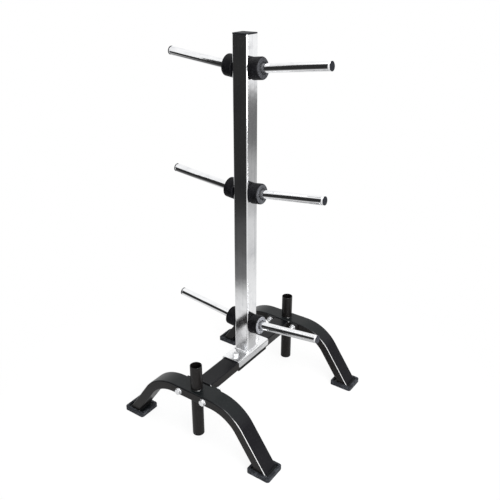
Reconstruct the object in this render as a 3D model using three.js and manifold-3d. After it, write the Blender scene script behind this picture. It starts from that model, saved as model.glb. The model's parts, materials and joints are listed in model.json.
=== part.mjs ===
// A free-standing plate tree: a square chromed upright with three pairs of upward-tilted pegs for
// weight plates, on a black base of two bowed legs joined by a beam. A tube for a bar stands through
// the middle of each leg. Lengths are in millimetres and angles in degrees. +Z is up, the pegs and legs
// run along X, the base beam runs along Y, and the origin is on the floor under the upright.
import * as THREE from "three";
import { mergeVertices, toCreasedNormals } from "three/addons/utils/BufferGeometryUtils.js";
import Module from "manifold-3d";

// Whole stand
const totalHeight = 1170; // floor to the top of the upright's cap
const fitGap = 0.3; // clearance between pieces that touch or fit in one another
const overrun = 5; // how far a cutter reaches past what it cuts
const mergeDistance = 0.0001; // points closer than this are one point

// Square upright tube and the weld round its foot
const uprightWidth = 50;
const uprightWall = 2;
const uprightCorner = 4;
const uprightWeld = 4;

// Plastic cap in the top of the upright
const capHead = 3;
const capEdge = 1.2;
const capSkirtDepth = 20;
const capSkirtWall = 1.8;
const capRibHeight = 2.5;
const capRibDepth = 1; // how far a rib stands out of the skirt

// Pegs: round tubes, three to a side, whose axes meet the upright's faces at these heights
const lowerPegHeight = 293;
const middlePegHeight = 731;
const upperPegDistance = 90; // from the top of the cap down to the upper pegs
const pegTilt = 6.4; // above the horizontal
const pegLength = 236;
const pegDiameter = 25;
const pegWall = 2;
const pegLeadLength = 5; // taper of the outer end, which helps a plate on
const pegLeadDepth = 0.7;

// Push-in plugs in the outer ends of the pegs
const pegPlugHead = 2.5;
const pegPlugEdge = 0.8;
const pegPlugDepth = 14;

// Rubber bumpers on the pegs, against the upright
const bumperDiameter = 60;
const bumperLength = 31;
const bumperEdge = 4.5; // rounding of the outer end
const bumperHeel = 1.5; // bevel of the inner end
const bumperRecessDiameter = 33;
const bumperRecessDepth = 2.5;
const bumperMouth = 1.2; // bevel round the bore in the recess

// Bowed legs: one rectangular tube each, bent down to both feet
const legSpacing = 505; // between the middles of the two legs
const legWidth = 57;
const legThickness = 30;
const legWall = 2;
const legCorner = 4;
const archHeight = 158.5; // floor to the underside of the flat middle
const kneeHalfSpan = 135.6; // upright's axis to where the straight middle lines would meet
const legSlope = 55.5; // of the straight ends, below the horizontal
const legBendRadius = 126; // on the middle line of the tube

// Steel plates welded to the ends of the legs, and the rubber boots they stand in
const footPlateLength = 60;
const footPlateWidth = 57;
const footPlateThickness = 4;
const footPlateCorner = 4;
const footInset = 4.5; // the plate's middle lies this much inside the leg end's middle
const footWeld = 3;
const bootRim = 8;
const bootCorner = 8;
const bootFloor = 5.7;
const bootHeight = 14;
const bootEdge = 1.5;
const treadDepth = 1.5;
const treadWidth = 4;
const treadPitch = 12;
const treadCount = 4; // an even count leaves a land in the middle to stand on

// Beam between the legs, with a bolted flange at each end
const beamWidth = 57;
const beamThickness = 30;
const beamWall = 2;
const beamCorner = 4;
const flangeWidth = 130;
const flangeHeight = 26;
const flangeThickness = 5;
const flangeCorner = 6;
const legBoltSpacing = 92;

// Pressed saddle that carries the upright on the beam, and the plate that backs it underneath
const saddleLength = 166;
const saddleThickness = 4;
const saddleDrop = 22; // top face to the lower edge of the turned-down sides
const saddleBend = 6; // outside of the bend
const saddleCorner = 7; // lower corners of the turned-down sides
const saddleBoltSpacing = 114;
const backingLength = 158;
const backingWidth = 57;
const backingThickness = 4;
const backingCorner = 3;

// Bar holders: open tubes through the middle of each leg
const holderDiameter = 36;
const holderWall = 2;
const holderTop = 267.5;
const holderBottom = 19;
const holderWeld = 3;
const holderPlugHead = 3;
const holderPlugEdge = 1;
const holderPlugDepth = 16;

// Hexagon bolts with plain washers and nuts
const boltDiameter = 10;
const boltHeadAcross = 17;
const boltHeadHeight = 6.4;
const boltPoint = 1.2; // bevel of the shank's end
const boltPastNut = 5;
const boltPlay = 0.6; // between the shank and the holes it passes through
const hexBevel = 1;
const nutHeight = 8;
const washerDiameter = 21;
const washerThickness = 2;

// How finely curves are divided
const cornerSteps = 2; // half the steps of a quarter round in an outline
const boreCornerSteps = 1; // the same inside a tube
const bendSteps = 5; // half the steps of a leg's bend
const boreBendSteps = 3; // the same inside the leg
const edgeSteps = 2; // steps across a leg's rounded outer edge
const boreEdgeSteps = 1; // steps across a rounded edge inside a leg
const beadSteps = 1; // half the steps of a quarter round of a short weld
const roundSteps = 20; // steps round a bumper or a bar holder
const pegSteps = 16; // steps round a peg or a plug
const boltSteps = 12; // steps round a bolt, a washer or a bolt hole
const hexSides = 6;
const plugRings = 2;
const bumperEdgeSteps = 2;
const creaseAngle = Math.PI / 6;

// Levels and places that follow from the sizes above
const upperPegHeight = totalHeight - upperPegDistance;
const legMiddle = archHeight + legThickness / 2;
const beamTop = legMiddle + beamThickness / 2;
const beamBottom = legMiddle - beamThickness / 2;
const saddleTop = beamTop + fitGap + saddleThickness;
const legInnerFace = legSpacing / 2 - legWidth / 2;
const flangeInnerFace = legInnerFace - fitGap - flangeThickness;
const beamHalfLength = flangeInnerFace - fitGap;
const footPlateBottom = bootFloor + fitGap;
const footPlateTop = footPlateBottom + footPlateThickness;
const slope = THREE.MathUtils.degToRad(legSlope);
const tilt = THREE.MathUtils.degToRad(pegTilt);
const footMiddle = kneeHalfSpan + (legMiddle - footPlateTop) / Math.tan(slope) - footInset;
const quarter = Math.PI / 2;

const metal = (color, roughness) => new THREE.MeshStandardMaterial({ color, roughness, metalness: 1 });
const coat = (color, roughness) => new THREE.MeshStandardMaterial({ color, roughness, metalness: 0 });
const chrome = metal(0xd4d6da, 0.16);
const zinc = metal(0xbfc2c6, 0.35);
const blackCoat = coat(0x1d1f20, 0.42);
const blackPlastic = coat(0x17181a, 0.5);
const rubber = coat(0x1c1d20, 0.72);

const wasm = await Module();
wasm.setup();

// A closed geometry as a solid that can be joined and cut.
function solidOf(geometry) {
  const bare = geometry.clone();
  for (const name of Object.keys(bare.attributes)) {
    if (name !== "position") bare.deleteAttribute(name);
  }
  const merged = mergeVertices(bare, mergeDistance);
  return new wasm.Manifold(
    new wasm.Mesh({
      numProp: 3,
      vertProperties: merged.attributes.position.array,
      triVerts: new Uint32Array(merged.index.array),
    }),
  );
}

// A solid as a named mesh, with smooth curves and crisp edges.
function meshOf(name, solid, material) {
  const { numProp, vertProperties, triVerts } = solid.getMesh();
  const places = new Float32Array((vertProperties.length / numProp) * 3);
  for (let i = 0; i < places.length / 3; i += 1) {
    places.set(vertProperties.subarray(i * numProp, i * numProp + 3), i * 3);
  }
  const geometry = new THREE.BufferGeometry();
  geometry.setAttribute("position", new THREE.BufferAttribute(places, 3));
  geometry.setIndex(new THREE.BufferAttribute(triVerts, 1));
  const mesh = new THREE.Mesh(toCreasedNormals(geometry, creaseAngle), material);
  mesh.name = name;
  return mesh;
}

// Outline of a rectangle with rounded corners, centred on the origin.
function roundedRectangle(width, depth, radius) {
  const x = width / 2 - radius;
  const y = depth / 2 - radius;
  const outline = new THREE.Shape();
  outline.absarc(x, y, radius, 0, quarter);
  outline.absarc(-x, y, radius, quarter, 2 * quarter);
  outline.absarc(-x, -y, radius, 2 * quarter, 3 * quarter);
  outline.absarc(x, -y, radius, 3 * quarter, 4 * quarter);
  return outline;
}

// An outline in X and Y raised along Z from one level to another.
function raised(outline, low, high, steps = cornerSteps) {
  const geometry = new THREE.ExtrudeGeometry(outline, {
    depth: high - low,
    bevelEnabled: false,
    curveSegments: steps,
  });
  return solidOf(geometry.translate(0, 0, low));
}

// A rounded bar that changes its outline from level to level: each level is a height, width, depth
// and corner radius, from the lowest up.
function lofted(levels, steps = cornerSteps) {
  const rings = levels.map(({ width, depth, radius }) =>
    roundedRectangle(width, depth, radius).getPoints(steps),
  );
  const around = rings[0].length;
  const places = rings.flatMap((ring, i) => ring.flatMap((p) => [p.x, p.y, levels[i].z]));
  const faces = [];
  for (let i = 0; i + 1 < rings.length; i += 1) {
    for (let j = 0; j < around; j += 1) {
      const a = i * around + j;
      const b = i * around + ((j + 1) % around);
      faces.push(a, b, b + around, a, b + around, a + around);
    }
  }
  const top = (rings.length - 1) * around;
  for (const [a, b, c] of THREE.ShapeUtils.triangulateShape(rings[0], [])) {
    faces.push(a, c, b, top + a, top + b, top + c);
  }
  const geometry = new THREE.BufferGeometry();
  geometry.setAttribute("position", new THREE.Float32BufferAttribute(places, 3));
  geometry.setIndex(faces);
  return solidOf(geometry);
}

// A profile of [radius, height] points turned about the Z axis.
function turned(profile, steps) {
  const points = profile.map(([radius, height]) => new THREE.Vector2(radius, height));
  return solidOf(new THREE.LatheGeometry(points, steps).rotateX(quarter));
}

// A round bar along Z.
function rod(diameter, low, high, steps) {
  const geometry = new THREE.CylinderGeometry(diameter / 2, diameter / 2, high - low, steps);
  return solidOf(geometry.rotateX(quarter).translate(0, 0, (high + low) / 2));
}

// A bolt hole's cutter along Z.
function boltCutter(low, high) {
  return rod(boltDiameter + 2 * boltPlay, low, high, boltSteps);
}

// The cutter for one of the two bolt holes through a leg and its end flange, along Y.
function legBoltCutter(side) {
  const x = (side * legBoltSpacing) / 2;
  return boltCutter(-legSpacing, legSpacing).rotate([90, 0, 0]).translate([x, 0, legMiddle]);
}

// A rectangular tube along Z: an outline with a smaller one cut out of it.
function tube(width, depth, radius, wall, low, high) {
  const bore = roundedRectangle(width - 2 * wall, depth - 2 * wall, radius - wall);
  return raised(roundedRectangle(width, depth, radius), low, high).subtract(
    raised(bore, low - overrun, high + overrun, boreCornerSteps),
  );
}

// A round tube along Z.
function roundTube(diameter, wall, low, high, steps) {
  const bore = rod(diameter - 2 * wall, low - overrun, high + overrun, steps);
  return rod(diameter, low, high, steps).subtract(bore);
}

// A push-in plug for a round tube: its head covers the tube's end, and rings on its core grip the
// bore. The head's underside is at zero and the core hangs below it.
function tubePlug({ diameter, wall, head, edge, depth, steps }) {
  const grip = diameter / 2 - wall - fitGap;
  const core = grip - wall / 2;
  const pitch = depth / plugRings;
  const profile = [[0, -depth]];
  for (let i = plugRings; i > 0; i -= 1) {
    profile.push([core, -i * pitch], [grip, (0.5 - i) * pitch], [core, (0.5 - i) * pitch]);
  }
  const rim = diameter / 2;
  profile.push([core, 0], [rim, 0], [rim, head - edge], [rim - edge, head], [0, head]);
  return turned(profile, steps);
}

// A hexagon with bevelled corners at its top, and at its bottom too if asked.
function hexagon(height, bevelBelow) {
  const corner = boltHeadAcross / 2 / Math.cos(Math.PI / hexSides);
  const flat = boltHeadAcross / 2;
  const prism = new THREE.CylinderGeometry(corner, corner, height, hexSides);
  const lowRim = bevelBelow ? flat : corner;
  const bevel = bevelBelow ? hexBevel : 0;
  const rim = [
    [0, 0],
    [lowRim, 0],
    [corner, bevel],
    [corner, height - hexBevel],
    [flat, height],
    [0, height],
  ];
  const round = rim.filter(([r, z], i) => i === 0 || r !== rim[i - 1][0] || z !== rim[i - 1][1]);
  const bevelled = turned(round, boltSteps);
  return solidOf(prism.rotateX(quarter).translate(0, 0, height / 2)).intersect(bevelled);
}

// Upright: a square tube with a weld round its foot.
function uprightTube() {
  const low = saddleTop + fitGap;
  const high = totalHeight - capHead - fitGap;
  const wide = uprightWidth + 2 * uprightWeld;
  const weld = lofted([
    { z: low, width: wide, depth: wide, radius: uprightCorner + uprightWeld },
    { z: low + uprightWeld, width: uprightWidth, depth: uprightWidth, radius: uprightCorner },
  ]);
  const bore = uprightWidth - 2 * uprightWall;
  const outline = roundedRectangle(bore, bore, uprightCorner - uprightWall);
  const inside = raised(outline, low - overrun, low + uprightWeld + overrun, boreCornerSteps);
  return tube(uprightWidth, uprightWidth, uprightCorner, uprightWall, low, high).add(
    weld.subtract(inside),
  );
}

// Cap: a head with a rounded rim on a hollow skirt, whose ribs grip the inside of the upright.
function uprightCap() {
  const low = totalHeight - capHead;
  const rimWidth = uprightWidth - 2 * capEdge;
  const head = lofted([
    { z: low, width: uprightWidth, depth: uprightWidth, radius: uprightCorner },
    { z: totalHeight - capEdge, width: uprightWidth, depth: uprightWidth, radius: uprightCorner },
    { z: totalHeight, width: rimWidth, depth: rimWidth, radius: uprightCorner - capEdge },
  ]);
  const grip = uprightWidth - 2 * (uprightWall + fitGap);
  const skirtWidth = grip - 2 * capRibDepth;
  const corner = uprightCorner - uprightWall;
  const skirt = tube(skirtWidth, skirtWidth, corner, capSkirtWall, low - capSkirtDepth, low);
  const rib = (z) => {
    const ring = lofted([
      { z, width: skirtWidth, depth: skirtWidth, radius: corner },
      { z: z + capRibHeight, width: grip, depth: grip, radius: corner },
    ]);
    const inside = roundedRectangle(skirtWidth, skirtWidth, corner);
    return ring.subtract(raised(inside, z - overrun, z + capRibHeight + overrun));
  };
  const upper = rib(low - capRibHeight - capEdge);
  const lower = rib(low - capSkirtDepth);
  return head.add(skirt).add(upper).add(lower);
}

// Peg: a round tube along Z with a tapered lead at its outer end. Its inner end is cut to fit the
// upright's face.
function pegTube() {
  const outside = pegDiameter / 2;
  const bore = outside - pegWall;
  const pipe = turned(
    [
      [bore, -pegDiameter],
      [outside, -pegDiameter],
      [outside, pegLength - pegLeadLength],
      [outside - pegLeadDepth, pegLength],
      [bore, pegLength],
      [bore, -pegDiameter],
    ],
    pegSteps,
  );
  const block = new THREE.BoxGeometry(pegLength, pegLength, pegLength);
  const face = solidOf(block.translate(0, 0, fitGap - pegLength / 2).rotateY(tilt));
  return pipe.subtract(face);
}

// Bumper: a thick rubber ring with a rounded outer end and a recess round the peg.
function pegBumper() {
  const bore = pegDiameter / 2 + fitGap;
  const outside = bumperDiameter / 2;
  const recess = bumperRecessDiameter / 2;
  const recessFloor = bumperLength - bumperRecessDepth;
  const profile = [
    [bore, 0],
    [outside - bumperHeel, 0],
    [outside, bumperHeel],
  ];
  for (let i = 0; i <= bumperEdgeSteps; i += 1) {
    const turn = (quarter * i) / bumperEdgeSteps;
    profile.push([
      outside - bumperEdge * (1 - Math.cos(turn)),
      bumperLength - bumperEdge * (1 - Math.sin(turn)),
    ]);
  }
  profile.push([recess, bumperLength], [recess - bumperMouth, recessFloor]);
  profile.push([bore + bumperMouth, recessFloor], [bore, recessFloor - bumperMouth], [bore, 0]);
  return turned(profile, roundSteps);
}

// Side view of a bowed leg, taken in from its surface by the given amount on each side. Its straight
// ends run on below the floor, to be cut off level.
function bowedOutline(inset) {
  const bendStart = kneeHalfSpan - legBendRadius * Math.tan(slope / 2);
  const bendCentre = legMiddle - legBendRadius;
  const outer = legBendRadius + legThickness / 2 - inset;
  const inner = legBendRadius - legThickness / 2 + inset;
  const end = (radius) => {
    const x = bendStart + radius * Math.sin(slope);
    const z = bendCentre + radius * Math.cos(slope);
    return [x + (z + overrun) / Math.tan(slope), -overrun];
  };
  const [outerX, endZ] = end(outer);
  const [innerX] = end(inner);
  const outline = new THREE.Shape();
  outline.moveTo(innerX, endZ);
  outline.lineTo(outerX, endZ);
  outline.absarc(bendStart, bendCentre, outer, quarter - slope, quarter);
  outline.absarc(-bendStart, bendCentre, outer, quarter, quarter + slope);
  outline.lineTo(-outerX, endZ);
  outline.lineTo(-innerX, endZ);
  outline.absarc(-bendStart, bendCentre, inner, quarter + slope, quarter, true);
  outline.absarc(bendStart, bendCentre, inner, quarter, quarter - slope, true);
  return outline;
}

// A bowed bar with rounded long edges, taken in from the leg's surface all round. The steps are those
// across an edge and along a bend.
function bowedBar(inset, edge, bend) {
  const radius = legCorner - inset;
  const width = legWidth - 2 * inset;
  const geometry = new THREE.ExtrudeGeometry(bowedOutline(inset), {
    depth: width - 2 * radius,
    bevelThickness: radius,
    bevelSize: radius,
    bevelOffset: -radius,
    bevelSegments: edge,
    curveSegments: bend,
  });
  return solidOf(geometry.translate(0, 0, radius - width / 2).rotateX(quarter));
}

// Leg: a bowed hollow tube, pierced for the bar holder and its bolts, with a plate on each end.
function bowedLeg() {
  const joint = footPlateTop - footPlateThickness / 2;
  const reach = 2 * (footMiddle + footPlateLength);
  const room = new THREE.BoxGeometry(reach, legWidth + 2 * overrun, reach);
  const aboveFloor = solidOf(room.translate(0, 0, joint + reach / 2));
  const hole = rod(holderDiameter + 2 * fitGap, archHeight - overrun, holderTop, roundSteps);
  const inside = bowedBar(legWall, boreEdgeSteps, boreBendSteps);
  let leg = bowedBar(0, edgeSteps, bendSteps).subtract(inside).intersect(aboveFloor);
  for (const side of [-1, 1]) {
    const plate = lofted([
      { z: footPlateBottom, width: footPlateLength, depth: footPlateWidth, radius: footPlateCorner },
      { z: footPlateTop, width: footPlateLength, depth: footPlateWidth, radius: footPlateCorner },
    ]);
    leg = leg.add(plate.translate([side * footMiddle, 0, 0])).add(footWeldBead(side));
    leg = leg.subtract(legBoltCutter(side));
  }
  return leg.subtract(hole);
}

// Weld round a leg's end on its plate, along the leg's two long sides.
function footWeldBead(side) {
  const length = legThickness / Math.sin(slope) - 2 * legCorner;
  const levels = [
    { z: footPlateTop - footWeld / 2, width: length, depth: footWeld, radius: footWeld / 3 },
    { z: footPlateTop + footWeld, width: length / 2, depth: footWeld / 2, radius: footWeld / 6 },
  ];
  const bead = lofted(levels, beadSteps);
  const x = side * (footMiddle + footInset);
  const y = legWidth / 2 - footWeld / 2;
  return bead.translate([x, y, 0]).add(bead.translate([x, -y, 0]));
}

// Boot: a rubber tray with a rounded rim that the foot plate stands in, grooved underneath.
function footBoot() {
  const length = footPlateLength + 2 * (fitGap + bootRim);
  const width = footPlateWidth + 2 * (fitGap + bootRim);
  const level = (z, inset) => ({
    z,
    width: length - 2 * inset,
    depth: width - 2 * inset,
    radius: bootCorner - inset,
  });
  const block = lofted([level(0, 0), level(bootHeight - bootEdge, 0), level(bootHeight, bootEdge)]);
  const pocket = roundedRectangle(
    footPlateLength + 2 * fitGap,
    footPlateWidth + 2 * fitGap,
    footPlateCorner + fitGap,
  );
  let boot = block.subtract(raised(pocket, bootFloor, bootHeight + overrun));
  for (let i = 0; i < treadCount; i += 1) {
    const groove = new THREE.BoxGeometry(treadWidth, width - 2 * bootRim, 2 * treadDepth);
    const x = (i - (treadCount - 1) / 2) * treadPitch;
    boot = boot.subtract(solidOf(groove.translate(x, 0, 0)));
  }
  return boot;
}

// Beam: a rectangular tube along Y, drilled through for the saddle's bolts.
function baseBeam() {
  const blank = tube(beamWidth, beamThickness, beamCorner, beamWall, -beamHalfLength, beamHalfLength);
  const beam = blank.rotate([90, 0, 0]).translate([0, 0, legMiddle]);
  return drilledForSaddle(beam);
}

function drilledForSaddle(solid) {
  const hole = boltCutter(beamBottom - backingThickness - overrun, saddleTop + overrun);
  return solid
    .subtract(hole.translate([0, saddleBoltSpacing / 2, 0]))
    .subtract(hole.translate([0, -saddleBoltSpacing / 2, 0]));
}

// End flange: a flat plate welded across the beam's end and bolted to the leg.
function endFlange() {
  const outline = roundedRectangle(flangeWidth, flangeHeight, flangeCorner);
  const plate = raised(outline, flangeInnerFace, flangeInnerFace + flangeThickness);
  return plate
    .rotate([90, 0, 0])
    .translate([0, 0, legMiddle])
    .subtract(legBoltCutter(-1))
    .subtract(legBoltCutter(1));
}

// Saddle: a plate pressed over both long edges of the beam, with rounded lower corners.
function saddlePlate() {
  const half = beamWidth / 2 + fitGap + saddleThickness;
  const low = saddleTop - saddleDrop;
  const x = half - saddleBend;
  const z = saddleTop - saddleBend;
  const inside = saddleBend - saddleThickness;
  const section = new THREE.Shape();
  section.moveTo(half - saddleThickness, low);
  section.lineTo(half, low);
  section.absarc(x, z, saddleBend, 0, quarter);
  section.absarc(-x, z, saddleBend, quarter, 2 * quarter);
  section.lineTo(-half, low);
  section.lineTo(-half + saddleThickness, low);
  section.absarc(-x, z, inside, 2 * quarter, quarter, true);
  section.absarc(x, z, inside, quarter, 0, true);
  const channel = raised(section, -saddleLength / 2, saddleLength / 2).rotate([90, 0, 0]);
  const side = roundedRectangle(saddleLength, 2 * saddleDrop, saddleCorner);
  const trim = raised(side, -half - overrun, half + overrun).rotate([90, 0, 90]);
  return drilledForSaddle(channel.intersect(trim.translate([0, 0, low + saddleDrop])));
}

// Backing plate under the beam.
function backingPlate() {
  const outline = roundedRectangle(backingWidth, backingLength, backingCorner);
  const top = beamBottom - fitGap;
  return drilledForSaddle(raised(outline, top - backingThickness, top));
}

// Bolt along Z: the head's underside is at zero, and the shank hangs below it.
function hexBolt(shank) {
  const r = boltDiameter / 2;
  const body = [
    [0, -shank],
    [r - boltPoint, -shank],
    [r, boltPoint - shank],
    [r, boltHeadHeight / 2],
    [0, boltHeadHeight / 2],
  ];
  return hexagon(boltHeadHeight, false).add(turned(body, boltSteps));
}

// Nut along Z, from zero up.
function hexNut() {
  const bore = rod(boltDiameter + 2 * fitGap, -overrun, nutHeight + overrun, boltSteps);
  return hexagon(nutHeight, true).subtract(bore);
}

// Plain washer along Z, from zero up.
function washer() {
  const ring = (washerDiameter - boltDiameter) / 2 - fitGap;
  return roundTube(washerDiameter, ring, 0, washerThickness, boltSteps);
}

// A bolt, two washers and a nut that clamp a stack of the given thickness. The group's Z axis points
// out of the face under the head, which is at zero.
function boltSet(name, grip) {
  const set = new THREE.Group();
  const step = washerThickness + fitGap;
  const shank = grip + 2 * step + nutHeight + 2 * fitGap + boltPastNut;
  const head = meshOf(`${name}_bolt`, hexBolt(shank), zinc);
  head.position.z = step + fitGap;
  const near = meshOf(`${name}_head_washer`, washer(), zinc);
  near.position.z = fitGap;
  const far = meshOf(`${name}_nut_washer`, washer(), zinc);
  far.position.z = -grip - step;
  const nut = meshOf(`${name}_nut`, hexNut(), zinc);
  nut.position.z = -grip - step - fitGap - nutHeight;
  set.add(head, near, far, nut);
  return set;
}

// One peg with its bumper and plug. The group's Z axis is the peg's own, and its origin is where that
// axis meets the upright's face.
function pegSet(tier, side, height) {
  const arm = new THREE.Group();
  const direction = side === "right" ? 1 : -1;
  arm.position.set((direction * uprightWidth) / 2, 0, height);
  arm.rotation.set(0, quarter - tilt, side === "right" ? 0 : 2 * quarter, "ZYX");
  const name = `${tier}_${side}`;
  const peg = meshOf(`${name}_peg`, pegTube(), chrome);
  const bumper = meshOf(`${name}_bumper`, pegBumper(), rubber);
  bumper.position.z = (fitGap + (bumperDiameter / 2) * Math.sin(tilt)) / Math.cos(tilt);
  const plugSolid = tubePlug({
    diameter: pegDiameter,
    wall: pegWall,
    head: pegPlugHead,
    edge: pegPlugEdge,
    depth: pegPlugDepth,
    steps: pegSteps,
  });
  const plug = meshOf(`${name}_peg_plug`, plugSolid, blackPlastic);
  plug.position.z = pegLength + fitGap;
  arm.add(peg, bumper, plug);
  return arm;
}

// Bar holder: an open tube with a weld round it where it stands on the leg.
function barHolder() {
  const seat = archHeight + legThickness + fitGap;
  const outside = holderDiameter / 2;
  const root = outside - holderWall / 2;
  const weld = turned(
    [
      [root, seat],
      [outside + holderWeld, seat],
      [outside, seat + holderWeld],
      [root, seat + holderWeld],
      [root, seat],
    ],
    roundSteps,
  );
  const low = holderBottom + holderPlugHead + fitGap;
  return roundTube(holderDiameter, holderWall, low, holderTop, roundSteps).add(weld);
}

// One leg with its boots, bar holder, end flange and bolts, at the -Y end of the beam.
function endSet(end, leftName, rightName) {
  const set = new THREE.Group();
  const legY = -legSpacing / 2;
  const leg = meshOf(`${end}_leg`, bowedLeg(), blackCoat);
  leg.position.y = legY;
  set.add(leg, meshOf(`${end}_end_flange`, endFlange(), blackCoat));
  const holder = meshOf(`${end}_bar_holder`, barHolder(), blackCoat);
  holder.position.y = legY;
  const plugSolid = tubePlug({
    diameter: holderDiameter,
    wall: holderWall,
    head: holderPlugHead,
    edge: holderPlugEdge,
    depth: holderPlugDepth,
    steps: pegSteps,
  });
  const plug = meshOf(`${end}_bar_holder_plug`, plugSolid, blackPlastic);
  plug.rotation.x = 2 * quarter;
  plug.position.set(0, legY, holderBottom + holderPlugHead);
  set.add(holder, plug);
  for (const [side, name] of [[-1, leftName], [1, rightName]]) {
    const boot = meshOf(`${end}_${name}_boot`, footBoot(), rubber);
    boot.position.set(side * footMiddle, legY, 0);
    const bolts = boltSet(`${end}_${name}_leg`, legWidth + fitGap + flangeThickness);
    bolts.position.set((side * legBoltSpacing) / 2, legY - legWidth / 2, legMiddle);
    bolts.rotation.x = quarter;
    set.add(boot, bolts);
  }
  return set;
}

// One of the two bolts through the saddle, the beam and the backing plate.
function saddleBolt(name, side) {
  const grip = saddleTop - (beamBottom - fitGap - backingThickness);
  const bolts = boltSet(`${name}_saddle`, grip);
  bolts.position.set(0, (side * saddleBoltSpacing) / 2, saddleTop);
  return bolts;
}

const plateTree = new THREE.Group();
plateTree.add(
  meshOf("upright_tube", uprightTube(), chrome),
  meshOf("upright_cap", uprightCap(), blackPlastic),
  meshOf("saddle_plate", saddlePlate(), chrome),
  meshOf("base_beam", baseBeam(), blackCoat),
  meshOf("backing_plate", backingPlate(), blackCoat),
  saddleBolt("front", -1),
  saddleBolt("back", 1),
  endSet("front", "left", "right"),
);
const backEnd = endSet("back", "right", "left");
backEnd.rotation.z = 2 * quarter;
plateTree.add(backEnd);
for (const [tier, height] of [
  ["lower", lowerPegHeight],
  ["middle", middlePegHeight],
  ["upper", upperPegHeight],
]) {
  plateTree.add(pegSet(tier, "left", height), pegSet(tier, "right", height));
}

export default plateTree;
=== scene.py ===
"""A chromed plate tree on a black bowed base, dressed for a plain studio picture.

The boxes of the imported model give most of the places. Each piece is modelled again here at the same
size, with the fine curves, edges, welds and threads of the real one, and takes the node's place.
Lengths are in metres: +Z is up, the pegs and legs run along X, and the beam of the base along Y.
"""

import json
import math

import bmesh
import bpy
from mathutils import Matrix, Vector

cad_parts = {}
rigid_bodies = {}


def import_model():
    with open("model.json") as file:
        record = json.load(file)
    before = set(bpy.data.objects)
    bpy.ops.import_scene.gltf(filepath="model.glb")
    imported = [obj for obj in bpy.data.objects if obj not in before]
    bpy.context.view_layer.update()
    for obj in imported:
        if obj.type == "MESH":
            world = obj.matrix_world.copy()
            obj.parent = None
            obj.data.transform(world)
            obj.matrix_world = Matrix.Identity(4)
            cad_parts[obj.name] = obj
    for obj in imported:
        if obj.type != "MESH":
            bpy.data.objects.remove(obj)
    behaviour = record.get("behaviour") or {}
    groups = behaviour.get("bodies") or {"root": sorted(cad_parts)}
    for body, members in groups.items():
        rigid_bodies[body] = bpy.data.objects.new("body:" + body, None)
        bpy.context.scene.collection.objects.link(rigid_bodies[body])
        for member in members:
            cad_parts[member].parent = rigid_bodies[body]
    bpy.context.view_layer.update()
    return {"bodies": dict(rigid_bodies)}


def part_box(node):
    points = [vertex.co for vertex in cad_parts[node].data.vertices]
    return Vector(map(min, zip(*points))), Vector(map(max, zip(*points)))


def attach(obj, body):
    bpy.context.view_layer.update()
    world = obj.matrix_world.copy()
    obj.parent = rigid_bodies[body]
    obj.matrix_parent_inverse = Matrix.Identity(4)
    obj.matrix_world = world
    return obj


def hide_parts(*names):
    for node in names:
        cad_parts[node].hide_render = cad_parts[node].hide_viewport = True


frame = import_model()
BODY = next(iter(frame["bodies"]))

MM = 0.001
X, Y, Z = Vector((1, 0, 0)), Vector((0, 1, 0)), Vector((0, 0, 1))
ENDS = {"front": -1, "back": 1}
SIDES = {"left": -1, "right": 1}

# Camera, fitted to measured points of the picture
CAMERA_PLACE = (0.98950, -1.38926, 1.33834)
CAMERA_TURN = (math.radians(65.0), 0.0, math.radians(35.01))
CAMERA_LENS = 44.63
CAMERA_SENSOR = 36.0

# Lamps: place, target, width and power. The surroundings light the stand as well.
OVERHEAD_LAMP = ((0.2, -0.1, 2.6), (0, 0, 0.4), 1.8, 26)
RIGHT_LAMP = ((2.2, -1.1, 1.15), (0.2, -0.1, 0.1), 2.0, 116)
AMBIENT = 0.75

# Sides of the studio that metal mirrors: a level direction, and the shares along it between which
# the side begins. The dark room is where its three overlap.
ROOM = ((-0.6, -0.8), (0.2, 0.5))
ROOM_EDGE = ((-0.966, 0.259), (-0.05, 0.1))
ROOM_WEST = ((0.41, -0.91), (-0.05, 0.15))
BACKDROP = ((0.6, 0.8), (0.5, 0.8))
BACKDROP_ON_FLOOR = ((0.6, 0.8), (0.4, 0.75))
GREY_CORNER = ((0.707, -0.707), (0.88, 0.97))

# How dark these sides are, and the heights of view between which they begin or end
ROOM_SHADE = 0.975
ROOM_TOP = (0.60, 0.74)
BACKDROP_SHADE = 0.8
BACKDROP_FOOT = (0.0, 0.08)
BACKDROP_TOP = (0.25, 0.35)
CORNER_SHADE = 0.4
CORNER_TOP = (0.3, 0.6)

# How dark the floor is in a mirror, and the distances from the upright between which it changes.
# A step is how much it darkens, and from where to where.
FLOOR_SIZE = 40
FLOOR_CENTRE = 10 * MM
FLOOR_SHADE = 0.15
FLOOR_END = (4.9, 6.2)
BACKDROP_STEPS = ((0.17, 0.7, 1.2), (0.2, 1.5, 1.9), (0.08, 2.0, 2.6), (0.24, 2.6, 3.4))
ROOM_FLOOR_SHADE = 0.2
ROOM_STEPS = ((0.66, 0.66, 0.92), (0.06, 1.0, 1.3), (0.055, 1.3, 2.0))
ROOM_WEST_START = (1.2, 2.0)
# Painted shadow of the stand on the floor that mirrors see
UNDER_PAINTED_SHADOW = 0.35
UNDER_EDGE = (0.2, 0.4)
CORNER_FLOOR_SHADE = 0.35
CORNER_START = (0.8, 2.5)

# How much of the floor is plain white: for the camera near the stand, and in a mirror
PLAIN_NEAR = 0.88
PLAIN_START = (0.45, 0.9)
PLAIN_MIRRORED = 0.85

# White panel that only mirrors see
PANEL_PLACE = (-0.94, -0.545, 1.53)
PANEL_SIZE = (0.65, 0.94, 1.0)
PANEL_TURN = math.radians(143)

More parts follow.
